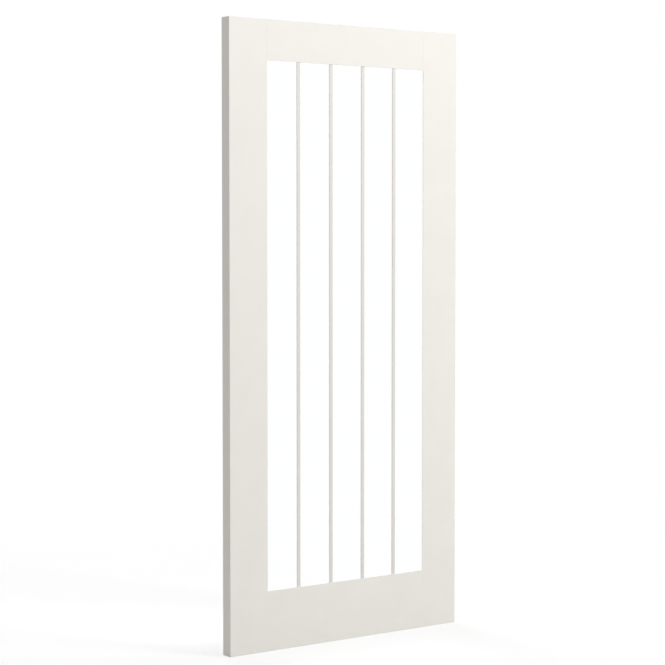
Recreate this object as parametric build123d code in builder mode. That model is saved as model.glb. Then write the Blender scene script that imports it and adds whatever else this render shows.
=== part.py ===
from build123d import *
import os

# Glazed interior door leaf: timber cores, board facings, edge lippings, one pane and flat glass bars.
# The leaf hangs from its hinge edge. The origin is the middle of that edge's flat face,
# +X runs across the leaf to the lock edge, +Y from the front face to the back, +Z is up.

os.makedirs("parts", exist_ok=True)

# Leaf
leaf_width = 926
leaf_height = 2040
leaf_thickness = 44
outer_arris = 1.2
joint_arris = 0.3

# Frame members, as seen on the front face
stile_width = 144
top_rail_height = 131
bottom_rail_height = 197
facing_thickness = 3
lipping_thickness = 8
rebate_width = 34
lip_edge = 1.5
lip_bevel_angle = 45

# Stub tongues that join the rails to the stiles
tongue_length = 18
tongue_thickness = 12
tongue_shoulder = 14
tongue_end_gap = 1

# Pane and what seats it
glass_thickness = 4
glass_edge_gap = 3
tape_thickness = 0.5
tape_width = 12
tape_set_back = 2.5
tape_corner_gap = 0.5
setting_block_length = 60
setting_block_inset = 120

# Glazing beads on the back
bead_set_back = 7
bead_nose = 3
bead_flat = 1.5
bead_arris = 0.5

# Flat bars bonded to both faces of the pane, the back ones narrower so that they hide behind
bar_count = 4
front_bar_width = 12.6
back_bar_width = 9.4
bar_thickness = 1.5
bar_chamfer = 0.4

# Places worked out from the sizes above
half_height = leaf_height / 2
front_y = -leaf_thickness / 2
back_y = leaf_thickness / 2
core_thickness = leaf_thickness - 2 * facing_thickness

sight_left = stile_width
sight_right = leaf_width - stile_width
sight_bottom = bottom_rail_height - half_height
sight_top = half_height - top_rail_height
sight_width = sight_right - sight_left
sight_height = sight_top - sight_bottom
sight_center = ((sight_left + sight_right) / 2, (sight_bottom + sight_top) / 2)

rebate_left = sight_left - rebate_width
rebate_right = sight_right + rebate_width
rebate_bottom = sight_bottom - rebate_width
rebate_top = sight_top + rebate_width

front_tape_y = front_y + facing_thickness
glass_front_y = front_tape_y + tape_thickness
glass_back_y = glass_front_y + glass_thickness
bead_y = glass_back_y + tape_thickness
bead_depth = back_y - bead_y
bead_width = rebate_width - bead_set_back
lip_bevel = facing_thickness - lip_edge


def plane_at(y):
    """The upright plane at one depth in the leaf, drawn as it is seen from the front."""
    return Plane.XZ.offset(-y)


def finish(piece, name):
    """Labels a finished piece and writes it."""
    piece.part.label = name
    export_step(piece.part, f"parts/{name}.step")


def slab(x_low, x_high, z_low, z_high, y_low, thickness):
    """A square-edged board standing in the plane of the leaf."""
    with BuildPart() as board:
        with BuildSketch(plane_at(y_low)):
            with Locations(((x_low + x_high) / 2, (z_low + z_high) / 2)):
                Rectangle(x_high - x_low, z_high - z_low)
        extrude(amount=-thickness)
    return board


def by_outline(edge):
    """True for an edge along the outside of the leaf, as against one at a joint or the glass."""
    middle = edge.center()
    from_side = min(middle.X, leaf_width - middle.X)
    from_end = half_height - abs(middle.Z)
    return min(from_side, from_end) < 2 * outer_arris


def facing(x_low, x_high, z_low, z_high, on_front):
    """One board skin, with eased arrises: fuller on the leaf's outline, fine elsewhere.

    A front skin is bevelled from behind round the glass, so that its sight edge looks thin.
    """
    y_low = front_y if on_front else back_y - facing_thickness
    with BuildPart() as skin:
        with BuildSketch(plane_at(y_low)):
            with Locations(((x_low + x_high) / 2, (z_low + z_high) / 2)):
                Rectangle(x_high - x_low, z_high - z_low)
        extrude(amount=-facing_thickness)
        show_side = 0 if on_front else -1
        arrises = skin.faces().sort_by(Axis.Y)[show_side].edges()
        fillet([edge for edge in arrises if by_outline(edge)], outer_arris)
        arrises = skin.faces().sort_by(Axis.Y)[show_side].edges()
        fillet([edge for edge in arrises if not by_outline(edge)], joint_arris)
        if on_front:
            with BuildSketch(plane_at(front_y + facing_thickness)):
                with Locations(sight_center):
                    Rectangle(sight_width + 2 * lip_bevel, sight_height + 2 * lip_bevel)
            extrude(amount=lip_bevel, taper=lip_bevel_angle, mode=Mode.SUBTRACT)
    return skin


def stile_core(outer_x, inner_x):
    """A stile's timber core, mortised on its inner edge for the tongues of both rails."""
    toward_rails = 1 if inner_x > outer_x else -1
    with BuildPart() as core:
        with BuildSketch(Plane.XY.offset(-half_height)):
            with Locations(((outer_x + inner_x) / 2, 0)):
                Rectangle(abs(inner_x - outer_x), core_thickness)
        extrude(amount=leaf_height)
        with BuildSketch(Plane.YZ.offset(inner_x)):
            for z_low, z_high in (top_rail_span, bottom_rail_span):
                with Locations((0, (z_low + z_high) / 2)):
                    Rectangle(tongue_thickness, z_high - z_low - 2 * tongue_shoulder)
        extrude(amount=-toward_rails * (tongue_length + tongue_end_gap), mode=Mode.SUBTRACT)
    return core


def rail_core(z_low, z_high):
    """A rail's timber core, with a stub tongue at each end."""
    with BuildPart() as core:
        with BuildSketch(Plane.YZ.offset(rebate_left)):
            with Locations((0, (z_low + z_high) / 2)):
                Rectangle(core_thickness, z_high - z_low)
        extrude(amount=rebate_right - rebate_left)
        with BuildSketch(Plane.YZ.offset(rebate_left - tongue_length)):
            with Locations((0, (z_low + z_high) / 2)):
                Rectangle(tongue_thickness, z_high - z_low - 2 * tongue_shoulder)
        extrude(amount=rebate_right - rebate_left + 2 * tongue_length)
    return core


def glazing_bead(corner, run, inward):
    """A splayed bead, square where it meets the glass and mitred at both ends.

    corner is a corner of the rebate, run points along the bead, inward to the glass.
    """
    length = abs(run.X) * (rebate_right - rebate_left) + abs(run.Z) * (rebate_top - rebate_bottom)
    start = Plane(origin=corner + Vector(0, bead_y, 0), x_dir=inward, z_dir=run)
    depth_sign = 1 if start.y_dir.Y > 0 else -1
    with BuildPart() as bead:
        with BuildSketch(start) as section:
            with BuildLine():
                Polyline(
                    (0, 0),
                    (bead_width, 0),
                    (bead_width, depth_sign * bead_nose),
                    (bead_flat, depth_sign * bead_depth),
                    (0, depth_sign * bead_depth),
                    close=True,
                )
            make_face()
            fillet(section.vertices().sort_by(Axis.X)[-2:], bead_arris)
        extrude(amount=length)
        for end, along in ((corner, run), (corner + run * length, run * -1)):
            mitre = Plane(origin=end, z_dir=along - inward)
            split(bisect_by=mitre, keep=Keep.TOP)
    return bead


def glass_bar(x, width, face_y, outward, z_low, z_high):
    """A flat bar bonded to the pane, with its two outer arrises chamfered."""
    with BuildPart() as bar:
        with BuildSketch(Plane.XY.offset(z_low)) as section:
            with Locations((x, face_y + outward * bar_thickness / 2)):
                Rectangle(width, bar_thickness)
            outer_corners = section.vertices().sort_by(Axis.Y)
            chamfer(outer_corners[-2:] if outward > 0 else outer_corners[:2], bar_chamfer)
        extrude(amount=z_high - z_low)
    return bar


def tape_strips(y_low, set_back):
    """Four strips of glazing tape round the pane, butted with small gaps at the corners."""
    left, right = sight_left - set_back, sight_right + set_back
    bottom, top = sight_bottom - set_back, sight_top + set_back
    middle_x, middle_z = sight_center
    with BuildPart() as tape:
        with BuildSketch(plane_at(y_low)):
            for x in (left - tape_width / 2, right + tape_width / 2):
                with Locations((x, middle_z)):
                    Rectangle(tape_width, top - bottom + 2 * tape_width)
            for z in (bottom - tape_width / 2, top + tape_width / 2):
                with Locations((middle_x, z)):
                    Rectangle(right - left - 2 * tape_corner_gap, tape_width)
        extrude(amount=-tape_thickness)
    return tape


# Timber cores
top_rail_span = (rebate_top, half_height)
bottom_rail_span = (-half_height, rebate_bottom)

finish(stile_core(lipping_thickness, rebate_left), "hinge_stile_core")
finish(stile_core(leaf_width - lipping_thickness, rebate_right), "lock_stile_core")
finish(rail_core(*top_rail_span), "top_rail_core")
finish(rail_core(*bottom_rail_span), "bottom_rail_core")

# Lippings on the two long edges, between the facings
for lipping_name, lipping_x in (
    ("hinge_edge_lipping", 0),
    ("lock_edge_lipping", leaf_width - lipping_thickness),
):
    lipping = slab(
        lipping_x,
        lipping_x + lipping_thickness,
        -half_height,
        half_height,
        -core_thickness / 2,
        core_thickness,
    )
    finish(lipping, lipping_name)

# Facings: the front ones run on past the cores and hold the pane, the back ones stop at them
for face_name, on_front, left, right, bottom, top in (
    ("front", True, sight_left, sight_right, sight_bottom, sight_top),
    ("back", False, rebate_left, rebate_right, rebate_bottom, rebate_top),
):
    finish(facing(0, left, -half_height, half_height, on_front), f"{face_name}_hinge_stile_facing")
    finish(
        facing(right, leaf_width, -half_height, half_height, on_front),
        f"{face_name}_lock_stile_facing",
    )
    finish(facing(left, right, top, half_height, on_front), f"{face_name}_top_rail_facing")
    finish(facing(left, right, -half_height, bottom, on_front), f"{face_name}_bottom_rail_facing")

# Pane, the tape on both sides of it and the blocks that it stands on
glass_left = rebate_left + glass_edge_gap
glass_right = rebate_right - glass_edge_gap
glass_bottom = rebate_bottom + glass_edge_gap
glass_top = rebate_top - glass_edge_gap
finish(
    slab(glass_left, glass_right, glass_bottom, glass_top, glass_front_y, glass_thickness),
    "glass_pane",
)
finish(tape_strips(front_tape_y, tape_set_back), "front_glazing_tape")
finish(tape_strips(glass_back_y, bead_set_back + tape_set_back), "back_glazing_tape")

with BuildPart() as setting_blocks:
    with BuildSketch(plane_at(glass_front_y)):
        for block_x in (sight_left + setting_block_inset, sight_right - setting_block_inset):
            with Locations((block_x, rebate_bottom + glass_edge_gap / 2)):
                Rectangle(setting_block_length, glass_edge_gap)
    extrude(amount=-glass_thickness)
finish(setting_blocks, "glass_setting_blocks")

# Glazing beads, each starting from one corner of the rebate
across, upward = Vector(1, 0, 0), Vector(0, 0, 1)
low_left = Vector(rebate_left, 0, rebate_bottom)
low_right = Vector(rebate_right, 0, rebate_bottom)
high_left = Vector(rebate_left, 0, rebate_top)
for bead_name, corner, run, inward in (
    ("hinge_side_bead", low_left, upward, across),
    ("lock_side_bead", low_right, upward, across * -1),
    ("bottom_bead", low_left, across, upward),
    ("top_bead", high_left, across, upward * -1),
):
    finish(glazing_bead(corner, run, inward), bead_name)

# Flat bars, evenly spaced; the front ones run on to the lip's bevel, the back ones to the beads
bar_pitch = (sight_width + front_bar_width) / (bar_count + 1)
bevel_run = glass_front_y - bar_thickness - front_y - lip_edge
for number in range(1, bar_count + 1):
    bar_x = sight_left - front_bar_width / 2 + number * bar_pitch
    front_bar = glass_bar(
        bar_x,
        front_bar_width,
        glass_front_y,
        -1,
        sight_bottom - bevel_run,
        sight_top + bevel_run,
    )
    finish(front_bar, f"front_glass_bar_{number}")
    back_bar = glass_bar(
        bar_x,
        back_bar_width,
        glass_back_y,
        1,
        sight_bottom - bead_set_back,
        sight_top + bead_set_back,
    )
    finish(back_bar, f"back_glass_bar_{number}")
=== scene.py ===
"""Looks for a glazed interior door leaf.

The leaf's own solids keep their shapes and are painted, glazed or left as foam and plastic. The
new pieces are the thin things that a glazier and a painter leave behind: the adhesive beds of the
bars, the skins of the two glazing tapes, the sealant line along the beads, and the filled pin heads
on them. A soft white studio holds the camera, the lamps and a pale floor. All lengths are in
metres, in the leaf's own frame.
"""

import logging
import math
from abc import ABC, abstractmethod
from dataclasses import dataclass
from enum import Enum
from typing import Any, Optional, Sequence, Union

import bpy
import numpy as np
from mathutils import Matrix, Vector


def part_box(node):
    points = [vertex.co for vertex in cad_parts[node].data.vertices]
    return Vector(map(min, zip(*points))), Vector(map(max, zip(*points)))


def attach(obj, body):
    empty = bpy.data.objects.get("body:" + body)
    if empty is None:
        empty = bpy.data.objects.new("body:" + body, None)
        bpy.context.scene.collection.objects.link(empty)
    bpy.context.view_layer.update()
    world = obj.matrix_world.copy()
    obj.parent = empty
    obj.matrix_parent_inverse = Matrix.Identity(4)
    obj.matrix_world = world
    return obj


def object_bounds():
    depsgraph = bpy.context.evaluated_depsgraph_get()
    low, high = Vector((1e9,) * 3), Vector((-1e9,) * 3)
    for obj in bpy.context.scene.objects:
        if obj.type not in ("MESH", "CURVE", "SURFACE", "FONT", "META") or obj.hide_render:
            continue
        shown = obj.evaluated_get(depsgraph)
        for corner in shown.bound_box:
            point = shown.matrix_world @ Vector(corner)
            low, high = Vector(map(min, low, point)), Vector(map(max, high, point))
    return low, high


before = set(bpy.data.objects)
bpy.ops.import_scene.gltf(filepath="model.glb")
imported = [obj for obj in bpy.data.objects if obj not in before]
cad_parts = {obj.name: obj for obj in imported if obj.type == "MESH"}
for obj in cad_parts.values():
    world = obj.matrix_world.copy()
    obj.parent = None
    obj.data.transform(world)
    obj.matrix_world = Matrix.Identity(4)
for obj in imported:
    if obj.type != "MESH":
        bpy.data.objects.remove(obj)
CAD_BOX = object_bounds()

log = logging.getLogger("door_leaf")

Colour = tuple[float, float, float]
Socket = bpy.types.NodeSocket
MM = 0.001
QUARTER_TURN = math.pi / 2
BODY = "root"
# Faces of a new piece that meet at less than this angle are shaded as one curve.
CREASE = math.radians(35)
# Smooth noise seldom goes past these values.
NOISE_REACH = (0.25, 0.75)
# How strong each finer layer of noise is against the last.
LAYER_STRENGTH = 0.5
# The four corners of an opening in order round it, as signs across and up.
CORNERS = np.array([(1, 1), (-1, 1), (-1, -1), (1, -1)])


class Side(Enum):
    """The two faces of the leaf, each with the sign of the direction that it looks in along Y."""

    FRONT = -1
    BACK = 1

    @property
    def word(self) -> str:
        """The side's name as the leaf's solids spell it."""
        return self.name.lower()


class Stroke(Enum):
    """How paint was laid on, as marks per metre along X, Y and Z."""

    ROLLED = (430.0, 430.0, 430.0)
    BRUSHED_UPRIGHT = (760.0, 760.0, 22.0)
    BRUSHED_ACROSS = (22.0, 760.0, 760.0)


class Slot(Enum):
    """Names of the record's finishes; no piece is given one of them here."""

    BEAD = "painted_bead"
    BAR = "painted_bar"
    TAPE = "glazing_tape"


class Graph:
    """The nodes of a material or of the surroundings, with short calls to add and join them."""

    def __init__(self, owner: Union[bpy.types.Material, bpy.types.World], output: str) -> None:
        """Empties the owner's nodes and adds the output.

        Args:
            owner: the material or the surroundings.
            output: the kind of its output node.
        """
        self.owner = owner
        owner.use_nodes = True
        self.tree = owner.node_tree
        self.tree.nodes.clear()
        self.output = self.add(output)

    @classmethod
    def of_material(cls, name: str) -> "Graph":
        """Starts a new material of this name."""
        return cls(bpy.data.materials.new(name), "OutputMaterial")

    @classmethod
    def of_world(cls, name: str) -> "Graph":
        """Starts new surroundings of this name."""
        return cls(bpy.data.worlds.new(name), "OutputWorld")

    def add(
        self, kind: str, inputs: Optional[dict[Any, Any]] = None, **settings: Any
    ) -> bpy.types.Node:
        """Adds a node.

        Args:
            kind: the node's type, without its "ShaderNode" prefix.
            inputs: socket names or numbers, each with a plain value or the socket that feeds it.
            settings: the node's own properties.

        Returns:
            The new node.
        """
        node = self.tree.nodes.new("ShaderNode" + kind)
        for name, value in settings.items():
            setattr(node, name, value)
        for name, value in (inputs or {}).items():
            if isinstance(value, Socket):
                self.tree.links.new(value, node.inputs[name])
            else:
                node.inputs[name].default_value = value
        return node

    def place(self, marks: Sequence[float]) -> Socket:
        """Object coordinates stretched along each axis.

        Args:
            marks: features per metre along X, Y and Z.

        Returns:
            The stretched coordinates.
        """
        where = self.add("TexCoord").outputs["Object"]
        return self.add("Mapping", {"Vector": where, "Scale": tuple(marks)}).outputs["Vector"]

    def noise(self, marks: Sequence[float], layers: float = 2.0) -> Socket:
        """Smooth noise on the object's own coordinates.

        Args:
            marks: features per metre along X, Y and Z.
            layers: how many finer layers are added, each weaker than the last.

        Returns:
            The noise, from 0 to 1 about a middle of a half.
        """
        detail = {"Detail": layers, "Roughness": LAYER_STRENGTH}
        inputs = {"Vector": self.place(marks), "Scale": 1.0, **detail}
        return self.add("TexNoise", inputs).outputs["Fac"]

    def spread(self, value: Socket, low: float, high: float) -> Socket:
        """Maps noise to a range, cut off where the noise seldom goes.

        Args:
            value: noise about a middle of a half.
            low: the result where the noise is lowest.
            high: the result where the noise is highest.

        Returns:
            The mapped value.
        """
        least, most = NOISE_REACH
        ends = {"From Min": least, "From Max": most, "To Min": low, "To Max": high}
        return self.add("MapRange", {"Value": value, **ends}).outputs["Result"]

    def tones(self, share: Socket, low: Colour, high: Colour) -> Socket:
        """Blends two colours.

        Args:
            share: how much of the second colour there is, from 0 to 1.
            low: the first colour.
            high: the second colour.

        Returns:
            The blended colour.
        """
        inputs = {"Factor": share, "A": (*low, 1.0), "B": (*high, 1.0)}
        return self.add("Mix", inputs, data_type="RGBA").outputs["Result"]

    def relief(self, height: Socket, distance: float, over: Optional[Socket] = None) -> Socket:
        """Bumps a surface.

        Args:
            height: the relief, from 0 to 1.
            distance: how high a relief of 1 stands.
            over: the normal that this relief is laid on, if there is one.

        Returns:
            The bumped normal.
        """
        inputs: dict[Any, Any] = {"Height": height, "Strength": 1.0, "Distance": distance}
        if over is not None:
            inputs["Normal"] = over
        return self.add("Bump", inputs).outputs["Normal"]

    def seen_ray(self) -> Socket:
        """Tells rays of sight, whether straight, mirrored or through glass, from all others.

        Returns:
            A value of 1 for rays of sight and 0 for the rest.
        """
        rays = self.add("LightPath").outputs
        direct = {0: rays["Is Camera Ray"], 1: rays["Is Glossy Ray"]}
        either = self.add("Math", direct, operation="MAXIMUM").outputs[0]
        through = {0: either, 1: rays["Is Transmission Ray"]}
        return self.add("Math", through, operation="MAXIMUM").outputs[0]

    def close(self, shader: bpy.types.Node) -> Any:
        """Joins the last shader to the output and returns the material or surroundings."""
        self.tree.links.new(shader.outputs[0], self.output.inputs["Surface"])
        return self.owner


def shade(colour: Colour, factor: float) -> Colour:
    """A colour times a factor, kept within 1."""
    red, green, blue = (min(1.0, channel * factor) for channel in colour)
    return red, green, blue


def even(size: float) -> list[float]:
    """Features per metre along X, Y and Z for features of one size in all directions."""
    return [1 / size] * 3


@dataclass(frozen=True)
class SatinPaint:
    """Satin paint over a smooth primed surface.

    The colour wanders a little in broad patches, and the shine in smaller ones. The relief has two
    layers: the paint's own marks, over the slow wave of the surface beneath.
    """

    name: str
    colour: Colour
    stroke: Stroke = Stroke.ROLLED
    roughness: float = 0.46
    roughness_spread: float = 0.05
    mottle: float = 0.012
    mottle_size: float = 90 * MM
    sheen_patch_share: float = 0.5
    mark_height: float = 0.16 * MM
    wave_size: float = 160 * MM
    wave_height: float = 0.10 * MM
    wave_layers: float = 1.0
    specular: float = 0.42

    def beneath(self, graph: Graph) -> tuple[Socket, Socket]:
        """Adds what the paint lies on.

        Args:
            graph: the material's nodes.

        Returns:
            The noise that the shine follows, and the relief of the surface beneath.
        """
        wave = graph.noise(even(self.wave_size), self.wave_layers)
        sheen = graph.noise(even(self.mottle_size * self.sheen_patch_share))
        return sheen, graph.relief(wave, self.wave_height)

    def build(self) -> bpy.types.Material:
        """Makes the material.

        Returns:
            The material.
        """
        graph = Graph.of_material(self.name)
        patches = graph.spread(graph.noise(even(self.mottle_size)), 0.0, 1.0)
        low, high = shade(self.colour, 1 - self.mottle), shade(self.colour, 1 + self.mottle)
        sheen, ground = self.beneath(graph)
        least, most = self.roughness - self.roughness_spread, self.roughness + self.roughness_spread
        inputs = {
            "Base Color": graph.tones(patches, low, high),
            "Roughness": graph.spread(sheen, least, most),
            "Normal": graph.relief(graph.noise(self.stroke.value), self.mark_height, ground),
            "Specular IOR Level": self.specular,
        }
        return graph.close(graph.add("BsdfPrincipled", inputs))


@dataclass(frozen=True)
class GrainedPaint(SatinPaint):
    """Satin paint over timber whose grain still shows through it as fine ridges along its run."""

    roughness: float = 0.5
    mottle: float = 0.015
    mottle_size: float = 110 * MM
    mark_height: float = 0.06 * MM
    ridge_pitch: float = 3.2 * MM
    ridge_length: float = 450 * MM
    ridge_height: float = 0.16 * MM
    ridge_layers: float = 3.0

    def beneath(self, graph: Graph) -> tuple[Socket, Socket]:
        """Adds the grain, which both the shine and the relief follow.

        Args:
            graph: the material's nodes.

        Returns:
            The grain's noise, and its relief.
        """
        run = even(self.ridge_pitch)
        run[2 if self.stroke is Stroke.BRUSHED_UPRIGHT else 0] = 1 / self.ridge_length
        grain = graph.noise(run, self.ridge_layers)
        return grain, graph.relief(grain, self.ridge_height)


@dataclass(frozen=True)
class ClearGlass:
    """Clear toughened glass with a faint roller wave, which lets the lamps through."""

    name: str
    tint: Colour = (0.992, 1.0, 0.996)
    index: float = 1.52
    wave_size: float = 220 * MM
    wave_length: float = 550 * MM
    wave_height: float = 0.02 * MM
    wave_layers: float = 1.0

    def build(self) -> bpy.types.Material:
        """Makes the material.

        Returns:
            The material.
        """
        graph = Graph.of_material(self.name)
        marks = (1 / self.wave_length, 1 / self.wave_size, 1 / self.wave_size)
        wave = graph.noise(marks, self.wave_layers)
        inputs = {
            "Base Color": (*self.tint, 1.0),
            "Roughness": 0.0,
            "IOR": self.index,
            "Transmission Weight": 1.0,
            "Normal": graph.relief(wave, self.wave_height),
        }
        glass = graph.add("BsdfPrincipled", inputs)
        clear = graph.add("BsdfTransparent", {"Color": (*self.tint, 1.0)})
        lamp_ray = graph.add("LightPath").outputs["Is Shadow Ray"]
        shaders = {0: lamp_ray, 1: glass.outputs[0], 2: clear.outputs[0]}
        return graph.close(graph.add("MixShader", shaders))


@dataclass(frozen=True)
class PoredSurface:
    """Foam, adhesive or moulded plastic: an even colour with painted shade in the pits of its fine
    cells, and little shine.
    """

    name: str
    colour: Colour
    cell_size: float = 0.7 * MM
    cell_depth: float = 0.06 * MM
    # How dark the painted shade in the cells' pits is.
    pit_shade_tone: float = 0.94
    roughness: float = 0.75

    def build(self) -> bpy.types.Material:
        """Makes the material.

        Returns:
            The material.
        """
        graph = Graph.of_material(self.name)
        where = graph.place(even(self.cell_size))
        cells = graph.add("TexVoronoi", {"Vector": where, "Scale": 1.0}).outputs["Distance"]
        inputs = {
            # The colour is darker where the cells' relief is low: painted shade in the pits.
            "Base Color": graph.tones(cells, shade(self.colour, self.pit_shade_tone), self.colour),
            "Roughness": self.roughness,
            "Normal": graph.relief(cells, self.cell_depth),
        }
        return graph.close(graph.add("BsdfPrincipled", inputs))


@dataclass(frozen=True)
class PaleFloor:
    """A pale matte floor that is white to the eye except in the leaf's shadow.

    To rays of sight it is part matte and part glowing, and it turns clear far out and from below,
    so that it runs into the white surroundings without an edge. To all other rays it is a duller
    matte.
    """

    name: str = "pale_floor"
    tone: float = 0.86
    bounce: float = 0.50
    glow: float = 0.64
    matte_share: float = 0.42
    fade_from: float = 1.8
    fade_to: float = 3.4

    def build(self) -> bpy.types.Material:
        """Makes the material.

        Returns:
            The material.
        """
        graph = Graph.of_material(self.name)
        matte = graph.add("BsdfDiffuse", {"Color": (self.tone, self.tone, self.tone, 1.0)})
        dull = graph.add("BsdfDiffuse", {"Color": (self.bounce, self.bounce, self.bounce, 1.0)})
        glow = graph.add("Emission", {"Strength": self.glow / (1 - self.matte_share)})
        lit = graph.add("MixShader", {0: self.matte_share, 1: glow.outputs[0], 2: matte.outputs[0]})
        seen = graph.seen_ray()
        surface = graph.add("MixShader", {0: seen, 1: dull.outputs[0], 2: lit.outputs[0]})
        where = graph.add("TexCoord").outputs["Object"]
        far = graph.add("VectorMath", {0: where}, operation="LENGTH").outputs["Value"]
        reach = {"Value": far, "From Min": self.fade_from, "From Max": self.fade_to}
        fade = graph.add("MapRange", reach, interpolation_type="SMOOTHSTEP").outputs[0]
        below = graph.add("NewGeometry").outputs["Backfacing"]
        gone = graph.add("Math", {0: fade, 1: below}, operation="MAXIMUM").outputs[0]
        open_share = graph.add("Math", {0: gone, 1: seen}, operation="MULTIPLY").outputs[0]
        clear = graph.add("BsdfTransparent")
        shaders = {0: open_share, 1: surface.outputs[0], 2: clear.outputs[0]}
        return graph.close(graph.add("MixShader", shaders))


FRAME_WHITE: Colour = (0.864, 0.839, 0.788)
# The bars' off-white is the frame's paint made darker: painted shade, standing in for the shade the
# bars show against the face.
BAR_WHITE_WITH_PAINTED_SHADE: Colour = (0.765, 0.734, 0.682)
TAPE_WHITE: Colour = (0.88, 0.87, 0.84)
BOND_WHITE: Colour = (0.88, 0.86, 0.81)
BLOCK_GREY: Colour = (0.30, 0.31, 0.33)


def strip(rows: int, columns: int, wrap: bool) -> np.ndarray:
    """Four-sided faces between rows of points, where each row's last point joins its first.

    Face (i, j) joins point j of row i, the next point of that row, the same two points of the next
    row, and so on round.

    Args:
        rows: how many rows of points there are.
        columns: how many points a row has.
        wrap: whether the last row joins the first.

    Returns:
        The faces, four point numbers each.
    """
    i, j = np.meshgrid(np.arange(rows if wrap else rows - 1), np.arange(columns), indexing="ij")
    after, along = (i + 1) % rows, (j + 1) % columns
    corners = (i * columns + j, i * columns + along, after * columns + along, after * columns + j)
    return np.stack(corners, -1).reshape(-1, 4)


def turn_outwards(mesh: bpy.types.Mesh) -> None:
    """Flips a closed mesh whose signed volume is negative.

    The volume is a sixth of the sum, over its triangles, of the triple product of their corners.

    Args:
        mesh: the mesh, all of whose faces turn the same way.
    """
    mesh.calc_loop_triangles()
    corners = np.zeros(len(mesh.loop_triangles) * 3, np.int32)
    mesh.loop_triangles.foreach_get("vertices", corners)
    places = np.zeros(len(mesh.vertices) * 3, np.float32)
    mesh.vertices.foreach_get("co", places)
    a, b, c = places.reshape(-1, 3).astype(float)[corners.reshape(-1, 3)].transpose(1, 0, 2)
    if np.einsum("ij,ij->i", a, np.cross(b, c)).sum() < 0:
        mesh.flip_normals()
    mesh.update()


def make_piece(
    name: str,
    points: np.ndarray,
    faces: Sequence[np.ndarray],
    finish: bpy.types.Material,
) -> bpy.types.Object:
    """Puts arrays into a mesh that rides on the leaf.

    Args:
        name: the piece's name.
        points: its points, three numbers each.
        faces: arrays of faces, each array with one number of corners.
        finish: its material.

    Returns:
        The new object, with its faces turned outwards and shaded smoothly up to its creases.
    """
    mesh = bpy.data.meshes.new(name)
    corners = [face for part in faces for face in part.tolist()]
    mesh.from_pydata(points.reshape(-1, 3).tolist(), [], corners)
    mesh.materials.append(finish)
    turn_outwards(mesh)
    mesh.shade_smooth()
    mesh.set_sharp_from_angle(angle=CREASE)
    piece = bpy.data.objects.new(name, mesh)
    bpy.context.scene.collection.objects.link(piece)
    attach(piece, BODY)
    log.info("%s: %d faces of %s", name, len(mesh.polygons), finish.name)
    return piece


def dress(node: str, finish: bpy.types.Material) -> None:
    """Gives one of the leaf's own solids its finish.

    Args:
        node: the solid's name.
        finish: its material.
    """
    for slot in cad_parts[node].material_slots:
        slot.material = finish
    log.info("%s: %s", node, finish.name)


def nodes_with(*words: str) -> list[str]:
    """The names of the leaf's own solids that hold any of some words."""
    return [name for name in sorted(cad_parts) if any(word in name for word in words)]


def level(node: str) -> bool:
    """True for a solid that runs across the leaf, as against up it."""
    low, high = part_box(node)
    return high.x - low.x > high.z - low.z


@dataclass(frozen=True)
class Opening:
    """The sight opening on one face of the leaf, and the pane's surface in it."""

    side: Side
    low: Vector
    high: Vector
    glass: float

    @classmethod
    def read(cls, side: Side) -> "Opening":
        """Reads an opening from the leaf's own solids.

        The back opening is larger than the front one by what the back bars stand out past it.

        Args:
            side: the face of the leaf.

        Returns:
            The opening.
        """
        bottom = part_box("front_bottom_rail_facing")[1].z
        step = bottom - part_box("back_glass_bar_1")[0].z if side is Side.BACK else 0.0
        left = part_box("front_hinge_stile_facing")[1].x - step
        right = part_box("front_lock_stile_facing")[0].x + step
        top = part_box("front_top_rail_facing")[0].z + step
        pane_low, pane_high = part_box("glass_pane")
        return cls(
            side,
            Vector((left, 0, bottom - step)),
            Vector((right, 0, top)),
            pane_high.y if side is Side.BACK else pane_low.y,
        )

    @property
    def middle(self) -> np.ndarray:
        """The opening's middle, across and up."""
        return np.array([self.low.x + self.high.x, self.low.z + self.high.z]) / 2

    @property
    def half(self) -> np.ndarray:
        """Half the opening's width and height."""
        return np.array([self.high.x - self.low.x, self.high.z - self.low.z]) / 2

    def stand(self, flat: np.ndarray, up: np.ndarray) -> np.ndarray:
        """Places in the leaf's frame.

        Args:
            flat: places across and up from the opening's middle, in the last axis.
            up: heights above the glass, away from the pane.

        Returns:
            The places, three numbers each.
        """
        points = np.zeros((*flat.shape[:-1], 3))
        points[..., [0, 2]] = self.middle + flat
        points[..., 1] = self.glass + self.side.value * up
        return points


class SubAssembly(ABC):
    """A group of the leaf's own solids, and the new pieces that belong to it."""

    @abstractmethod
    def build(self) -> None:
        """Dresses the group's solids and makes its new pieces."""


@dataclass
class TimberFrame(SubAssembly):
    """The cores, the edge lippings and the board facings: all that carries the pane."""

    colour: Colour = FRAME_WHITE

    def build(self) -> None:
        """Paints the boards with a roller, and the timber edges along their grain."""
        board = SatinPaint("board_paint", self.colour).build()
        upright = GrainedPaint("upright_edge_paint", self.colour, Stroke.BRUSHED_UPRIGHT).build()
        across = GrainedPaint("level_edge_paint", self.colour, Stroke.BRUSHED_ACROSS).build()
        for node in nodes_with("_facing"):
            dress(node, board)
        for node in nodes_with("_core", "_lipping"):
            dress(node, across if level(node) else upright)


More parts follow.
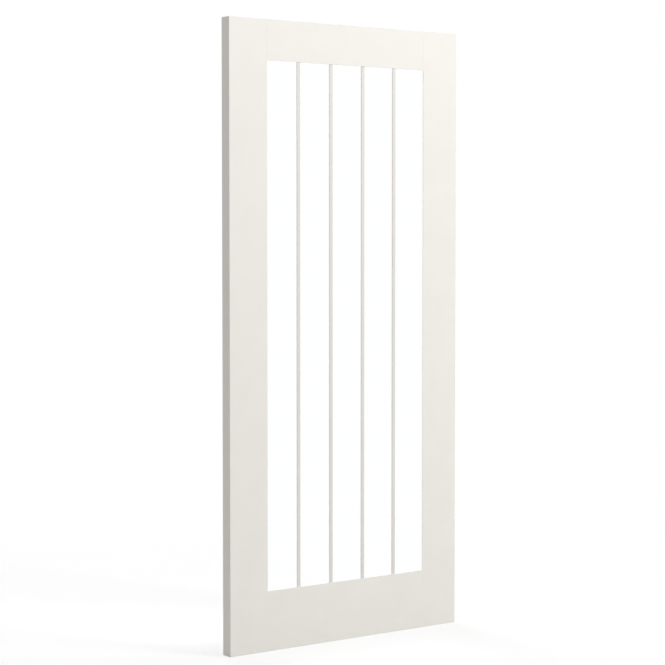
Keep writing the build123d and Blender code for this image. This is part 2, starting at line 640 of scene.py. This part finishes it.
@dataclass
class GlazedPane(SubAssembly):
    """The pane, the tapes on both sides of it and the blocks that it stands on.

    The new pieces are the adhesive skins by which the tapes hold to the glass. A skin's section is
    a flat rectangle, a hair into the glass and a little into the tape.
    """

    tape_width: float = 12.0 * MM
    tape_set_back: float = 2.5 * MM
    wetting: float = 0.03 * MM
    skin_depth: float = 0.2 * MM
    block_cell: float = 1.6 * MM
    block_cell_depth: float = 0.01 * MM
    block_roughness: float = 0.5

    def build(self) -> None:
        """Glazes the pane, dresses what seats it and adds the tape skins."""
        foam = PoredSurface("glazing_foam", TAPE_WHITE).build()
        block = PoredSurface(
            "block_plastic",
            BLOCK_GREY,
            cell_size=self.block_cell,
            cell_depth=self.block_cell_depth,
            roughness=self.block_roughness,
        ).build()
        dress("glass_pane", ClearGlass("clear_pane").build())
        dress("glass_setting_blocks", block)
        for node in nodes_with("_glazing_tape"):
            dress(node, foam)
        for side in Side:
            self.add_skin(Opening.read(side), foam)

    def add_skin(self, opening: Opening, finish: bpy.types.Material) -> bpy.types.Object:
        """Carries a tape's skin round an opening with mitred corners.

        A point of the section that lies out from the sight line by some distance takes, at each
        corner of the opening, that same distance out both across and up.

        Args:
            opening: the opening that the tape runs round.
            finish: the skin's material.

        Returns:
            The new piece.
        """
        out = self.tape_set_back + self.tape_width * np.array([0.0, 1.0, 1.0, 0.0])
        up = np.array([-self.wetting, -self.wetting, self.skin_depth, self.skin_depth])
        flat = CORNERS[:, None, :] * (opening.half + out[:, None])
        faces = strip(len(CORNERS), len(out), True)
        name = f"{opening.side.word}_tape_skin"
        return make_piece(name, opening.stand(flat, up), [faces], finish)


@dataclass
class GlassBars(SubAssembly):
    """The flat bars on both faces of the pane.

    The new pieces are the adhesive beds that hold them. A bed's section is closed: a film between
    the bar and the glass, which wets both, and on both sides of the bar a concave quarter round
    squeezed out along its foot, which at the angle a lies (1 - sin a) of its reach out from the bar
    and (1 - cos a) of its rise up from the glass, and laps a hair into the bar's side. It is
    carried straight from the bar's bottom to its top.
    """

    # A darker copy of the frame's paint: painted shade on the bars.
    colour: Colour = BAR_WHITE_WITH_PAINTED_SHADE
    bar_roughness: float = 0.4
    bar_mark_height: float = 0.03 * MM
    reach: float = 0.35 * MM
    rise: float = 1.1 * MM
    lap: float = 0.08 * MM
    wetting: float = 0.03 * MM
    round_steps: int = 6
    bond_cell: float = 1.1 * MM
    bond_cell_depth: float = 0.01 * MM
    bond_roughness: float = 0.45

    def build(self) -> None:
        """Paints the bars and beds them on the glass."""
        paint = SatinPaint(
            "bar_paint_with_painted_shade",
            self.colour,
            Stroke.BRUSHED_UPRIGHT,
            roughness=self.bar_roughness,
            mark_height=self.bar_mark_height,
        ).build()
        bond = PoredSurface(
            "bar_bond",
            BOND_WHITE,
            cell_size=self.bond_cell,
            cell_depth=self.bond_cell_depth,
            roughness=self.bond_roughness,
        ).build()
        for side in Side:
            bars = nodes_with(f"{side.word}_glass_bar")
            for node in bars:
                dress(node, paint)
            self.add_beds(Opening.read(side), bars, bond)

    def section(self, width: float) -> np.ndarray:
        """A bed's section, as places across from the bar's middle and up from the glass.

        Args:
            width: the bar's width.

        Returns:
            The section's points in order round it.
        """
        a = np.linspace(0.0, QUARTER_TURN, self.round_steps)
        across = width / 2 + self.reach * (1 - np.sin(a))
        up = self.rise * (1 - np.cos(a))
        inside = width / 2 - self.lap
        curve = np.stack([across, up], -1)
        right = np.concatenate([curve, [(inside, self.rise), (inside, self.wetting)]])
        left = right[::-1] * np.array([-1.0, 1.0])
        below = np.array([(-across[0], -self.wetting), (across[0], -self.wetting)])
        return np.concatenate([right, left, below])

    def add_beds(
        self, opening: Opening, bars: Sequence[str], finish: bpy.types.Material
    ) -> bpy.types.Object:
        """Makes the beds of all the bars on one face of the pane as one mesh.

        Args:
            opening: the opening that the bars cross.
            bars: the bars' names.
            finish: the beds' material.

        Returns:
            The new piece.
        """
        boxes = np.array([[tuple(corner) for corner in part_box(node)] for node in bars])
        middles, ends = boxes[:, :, 0].mean(1), boxes[0, :, 2]
        section = self.section(float(boxes[0, 1, 0] - boxes[0, 0, 0]))
        count = len(section)
        points = np.zeros((len(bars), len(ends), count, 3))
        points[..., 0] = middles[:, None, None] + section[:, 0]
        points[..., 1] = opening.glass + opening.side.value * section[:, 1]
        points[..., 2] = ends[None, :, None]
        first = np.arange(len(bars))[:, None, None] * len(ends) * count
        around = strip(len(ends), count, False)[None] + first
        ring = np.arange(count)[None, :] + first[:, 0]
        caps = np.stack([ring[:, ::-1], ring + count], 1)
        faces = [around.reshape(-1, 4), caps.reshape(-1, count)]
        return make_piece(f"{opening.side.word}_bar_bonds", points, faces, finish)


@dataclass(frozen=True)
class SealantLine:
    """The sealant between the pane and the beads.

    Its section is a concave quarter round: at the angle a it lies (1 - sin a) of its reach in from
    the sight line and (1 - cos a) of its rise up from the glass. A foot behind the bead's edge
    closes it. It is carried round the opening on a course whose corners are arcs, with a radius
    that grows with the distance from the sight line, so that the outer edge is nearly square and
    the inner one rounded. The reach swells and thins by a few per cent in slow waves, as a hand-run
    line does. Each wave is given as its number of crests in a trip round and its share of the
    swell.
    """

    reach: float = 2.0 * MM
    rise: float = 2.3 * MM
    foot: float = 1.2 * MM
    foot_height: float = 0.9 * MM
    lift: float = 0.02 * MM
    section_steps: int = 7
    arc_steps: int = 7
    straight_step: float = 40 * MM
    corner_radius: float = 0.3 * MM
    corner_ratio: float = 1.6
    unevenness: float = 0.07
    waves: tuple[tuple[float, float], ...] = ((17.0, 0.6), (41.0, 0.4))

    def section(self) -> np.ndarray:
        """The line's section.

        Returns:
            Its points, each as its distance in from the sight line and up from the glass.
        """
        a = np.linspace(0.0, QUARTER_TURN, self.section_steps)
        curve = np.stack([self.reach * (1 - np.sin(a)), self.rise * (1 - np.cos(a))], -1)
        back, top = -self.foot, self.foot_height
        foot = np.array([(0.0, top), (back, top), (back, 0.0)])
        return np.concatenate([curve, foot]) + np.array([0.0, self.lift])

    def course(self, half: np.ndarray) -> tuple[np.ndarray, np.ndarray, np.ndarray]:
        """The steps of the line's course round the opening.

        Args:
            half: half the opening's width and height.

        Returns:
            For each step the number of the corner that it leaves, the angle that it has turned
            there, and the share of the straight run to the next corner that it has covered.
        """
        quarter = np.linspace(0.0, QUARTER_TURN, self.arc_steps)
        corners, turns, shares = [], [], []
        for corner in range(len(CORNERS)):
            inner_steps = int(2 * half[corner % 2] / self.straight_step)
            straight = np.linspace(0.0, 1.0, inner_steps + 2)[1:-1]
            turns += [quarter, np.full(len(straight), quarter[-1])]
            shares += [np.zeros(len(quarter)), straight]
            corners.append(np.full(len(quarter) + len(straight), corner))
        return np.concatenate(corners), np.concatenate(turns), np.concatenate(shares)

    def on_arc(
        self, half: np.ndarray, corner: np.ndarray, turn: np.ndarray, inset: np.ndarray
    ) -> np.ndarray:
        """Places on the rounded corners of the line.

        An arc's middle lies in from its corner by the inset and the radius together, both across
        and up. The radius is a small one plus the inset times a fixed ratio.

        Args:
            half: half the opening's width and height.
            corner: the corner's number at each step.
            turn: the angle turned at each step.
            inset: each step's section, as distances in from the sight line.

        Returns:
            Places across and up from the opening's middle, for every step and section point.
        """
        sides = CORNERS[corner % len(CORNERS)][:, None, :]
        radius = (self.corner_radius + np.maximum(inset, 0.0) * self.corner_ratio)[..., None]
        angle = turn + corner * QUARTER_TURN
        spoke = np.stack([np.cos(angle), np.sin(angle)], -1)[:, None, :]
        return sides * (half - inset[..., None] - radius) + radius * spoke

    def build(self, opening: Opening, finish: bpy.types.Material) -> bpy.types.Object:
        """Makes the line round the whole opening.

        Args:
            opening: the opening that it runs round.
            finish: its material.

        Returns:
            The new piece.
        """
        section = self.section()
        corner, turn, share = self.course(opening.half)
        trip = (corner + share) * QUARTER_TURN
        wave = sum(size * np.sin(count * trip + count) for count, size in self.waves)
        swell = 1 + self.unevenness * wave[:, None]
        inset = np.where(section[:, 0] > 0, section[:, 0] * swell, section[:, 0])
        here = self.on_arc(opening.half, corner, turn, inset)
        there = self.on_arc(opening.half, corner + 1, np.zeros(len(corner)), inset)
        flat = here + (there - here) * share[:, None, None]
        faces = strip(flat.shape[0], flat.shape[1], True)
        name = f"{opening.side.word}_sealant_line"
        return make_piece(name, opening.stand(flat, section[:, 1]), [faces], finish)


@dataclass(frozen=True)
class PinHeads:
    """The filled and painted pin heads along a glazing bead.

    Each is a low dome on the bead's slope: at the angle t round it and the share s out from its
    middle it stands (1 - s squared) of its height above the slope.
    """

    radius: float = 1.5 * MM
    height: float = 0.16 * MM
    sink: float = 0.05 * MM
    spacing: float = 190 * MM
    end_inset: float = 70 * MM
    nose: float = 3.0 * MM
    flat: float = 1.5 * MM
    slope_share: float = 0.52
    rings: int = 4
    steps: int = 14

    def dome(self) -> np.ndarray:
        """One head's points, as places along the bead, up its slope and out from it.

        Returns:
            The rim below the slope, the rings up to the crown, the point that closes the head from
            below and the crown.
        """
        share = np.linspace(1.0, 0.0, self.rings + 1)[:-1, None]
        turn = np.arange(self.steps) * 2 * math.pi / self.steps
        along, up = self.radius * share * np.cos(turn), self.radius * share * np.sin(turn)
        out = np.broadcast_to(self.height * (1 - share**2) - self.sink, along.shape)
        rings = np.stack([along, up, out], -1)
        rim = rings[:1] - np.array([0.0, 0.0, self.height])
        ends = np.array([(0, 0, -self.sink - self.height), (0, 0, self.height - self.sink)])
        return np.concatenate([rim.reshape(-1, 3), rings.reshape(-1, 3), ends])

    def dome_faces(self) -> tuple[np.ndarray, np.ndarray]:
        """One head's faces.

        Returns:
            The four-sided faces round it, and the three-sided ones that close it.
        """
        count = self.rings + 1
        below, crown = count * self.steps, count * self.steps + 1
        ring = np.arange(self.steps)
        after, last = (ring + 1) % self.steps, (count - 1) * self.steps
        floor = np.stack([after, ring, np.full(self.steps, below)], -1)
        top = np.stack([ring + last, after + last, np.full(self.steps, crown)], -1)
        return strip(count, self.steps, False), np.concatenate([floor, top])

    def build(self, bead: str, opening: Opening, finish: bpy.types.Material) -> bpy.types.Object:
        """Makes the heads along a bead as one mesh.

        The slope runs from the nose's edge at the sight line to the flat at the back. Its
        direction, and the direction straight out from it, turn each head's own places into the
        leaf's.

        Args:
            bead: the bead's name.
            opening: the opening that the bead frames.
            finish: the heads' material.

        Returns:
            The new piece.
        """
        low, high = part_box(bead)
        run, out = (0, 2) if level(bead) else (2, 0)
        outward = 1.0 if low[out] + high[out] > opening.low[out] + opening.high[out] else -1.0
        start = np.array([(opening.high if outward > 0 else opening.low)[out], low.y + self.nose])
        end = np.array([(high if outward > 0 else low)[out] - outward * self.flat, high.y])
        slope = (end - start) / np.linalg.norm(end - start)
        away = np.array([-slope[1] * outward, slope[0] * outward])
        centre = start + (end - start) * self.slope_share
        length = high[run] - low[run] - 2 * self.end_inset
        count = int(round(length / self.spacing)) + 1
        along = np.linspace(low[run] + self.end_inset, high[run] - self.end_inset, count)
        dome = self.dome()
        points = np.zeros((count, len(dome), 3))
        points[..., run] = along[:, None] + dome[:, 0]
        points[..., out] = centre[0] + slope[0] * dome[:, 1] + away[0] * dome[:, 2]
        points[..., 1] = centre[1] + slope[1] * dome[:, 1] + away[1] * dome[:, 2]
        first = np.arange(count)[:, None, None] * len(dome)
        faces = [(part[None] + first).reshape(-1, part.shape[-1]) for part in self.dome_faces()]
        return make_piece(f"{bead}_pin_heads", points, faces, finish)


@dataclass
class BeadFrame(SubAssembly):
    """The four splayed glazing beads on the back of the leaf.

    The new pieces are the tooled sealant line between the beads and the pane, and the filled and
    painted pin heads along each bead.
    """

    colour: Colour = FRAME_WHITE
    mottle_size: float = 50 * MM
    mark_height: float = 0.11 * MM
    sealant_roughness: float = 0.36
    sealant_mark_height: float = 0.008 * MM
    sealant_wave_size: float = 30 * MM
    line: SealantLine = SealantLine()
    pins: PinHeads = PinHeads()

    def build(self) -> None:
        """Paints the beads along their run, then seals and pins them."""
        marks = {"mottle_size": self.mottle_size, "mark_height": self.mark_height}
        upright, across = (
            SatinPaint(name, self.colour, stroke, **marks).build()
            for name, stroke in (
                ("upright_bead_paint", Stroke.BRUSHED_UPRIGHT),
                ("level_bead_paint", Stroke.BRUSHED_ACROSS),
            )
        )
        sealant = SatinPaint(
            "painted_sealant",
            self.colour,
            roughness=self.sealant_roughness,
            mark_height=self.sealant_mark_height,
            wave_size=self.sealant_wave_size,
        ).build()
        opening = Opening.read(Side.BACK)
        self.line.build(opening, sealant)
        for bead in nodes_with("_bead"):
            dress(bead, across if level(bead) else upright)
            self.pins.build(bead, opening, sealant)


@dataclass(frozen=True)
class Lamp:
    """A square soft box that looks at one point of the leaf and stays out of sight itself."""

    name: str
    place: tuple[float, float, float]
    power: float
    target: tuple[float, float, float] = (0.46, 0.0, 0.1)
    size: float = 3.0

    def build(self) -> bpy.types.Object:
        """Makes the lamp and turns it to its target.

        Returns:
            The lamp.
        """
        data = bpy.data.lights.new(self.name, "AREA")
        data.energy, data.shape, data.size = self.power, "SQUARE", self.size
        lamp = bpy.data.objects.new(self.name, data)
        bpy.context.scene.collection.objects.link(lamp)
        lamp.visible_camera = lamp.visible_transmission = False
        lamp.location = self.place
        aim = Vector(self.target) - Vector(self.place)
        lamp.rotation_euler = aim.to_track_quat("-Z", "Y").to_euler()
        log.info("%s: %.0f W", self.name, self.power)
        return lamp


@dataclass(frozen=True)
class Viewpoint:
    """The photograph's viewpoint, by its place from the leaf's front lower hinge corner."""

    from_corner: tuple[float, float, float] = (-3.1522, -4.9588, 1.3589)
    turn: float = math.radians(35.6295)
    tilt: float = math.radians(2.4848)
    lens: float = 100.172
    sensor: float = 36.0
    shift_up: float = -0.03

    def build(self) -> bpy.types.Object:
        """Makes the camera and hands it to the scene.

        Returns:
            The camera.
        """
        data = bpy.data.cameras.new("camera")
        data.lens, data.sensor_width, data.shift_y = self.lens, self.sensor, self.shift_up
        camera = bpy.data.objects.new("camera", data)
        bpy.context.scene.collection.objects.link(camera)
        camera.location = Vector(CAD_BOX[0]) + Vector(self.from_corner)
        ahead, drop = math.cos(self.tilt), -math.sin(self.tilt)
        aim = Vector((math.sin(self.turn) * ahead, math.cos(self.turn) * ahead, drop))
        camera.rotation_euler = aim.to_track_quat("-Z", "Y").to_euler()
        bpy.context.scene.camera = camera
        return camera


@dataclass
class Studio:
    """A white room with soft light: the surroundings, the floor, the lamps and the camera."""

    surround: float = 0.545
    floor_size: float = 16.0
    floor: PaleFloor = PaleFloor()
    view: Viewpoint = Viewpoint()
    lamps: tuple[Lamp, ...] = (
        Lamp("key_lamp", place=(5.0, -7.0, 4.0), power=470.0),
        Lamp("back_lamp", place=(1.8, 6.5, 4.5), power=200.0, size=4.0),
    )

    def build(self) -> None:
        """Makes the whole studio."""
        bpy.context.scene.view_settings.view_transform = "Standard"
        self.build_surroundings()
        self.build_floor()
        for lamp in self.lamps:
            lamp.build()
        self.view.build()

    def build_surroundings(self) -> None:
        """Makes the surroundings: white to rays of sight, and a softer grey as light."""
        graph = Graph.of_world("white_room")
        levels = {"Value": graph.seen_ray(), "To Min": self.surround, "To Max": 1.0}
        strength = graph.add("MapRange", levels).outputs[0]
        white = {"Color": (1.0, 1.0, 1.0, 1.0), "Strength": strength}
        bpy.context.scene.world = graph.close(graph.add("Background", white))

    def build_floor(self) -> bpy.types.Object:
        """Makes the floor, which is not attached to the leaf.

        Returns:
            The floor.
        """
        low, high = CAD_BOX
        half = self.floor_size / 2
        corners = [(-half, -half, 0), (half, -half, 0), (half, half, 0), (-half, half, 0)]
        mesh = bpy.data.meshes.new("floor")
        mesh.from_pydata(corners, [], [(0, 1, 2, 3)])
        mesh.materials.append(self.floor.build())
        floor = bpy.data.objects.new("floor", mesh)
        bpy.context.scene.collection.objects.link(floor)
        floor.location = ((low.x + high.x) / 2, (low.y + high.y) / 2, low.z)
        return floor


def main() -> None:
    """Builds the leaf's looks one sub-assembly at a time, then the studio."""
    logging.basicConfig(level=logging.INFO, format="%(message)s")
    for group in (TimberFrame(), GlazedPane(), GlassBars(), BeadFrame()):
        log.info("building %s", type(group).__name__)
        group.build()
    Studio().build()


if __name__ == "__main__":
    main()
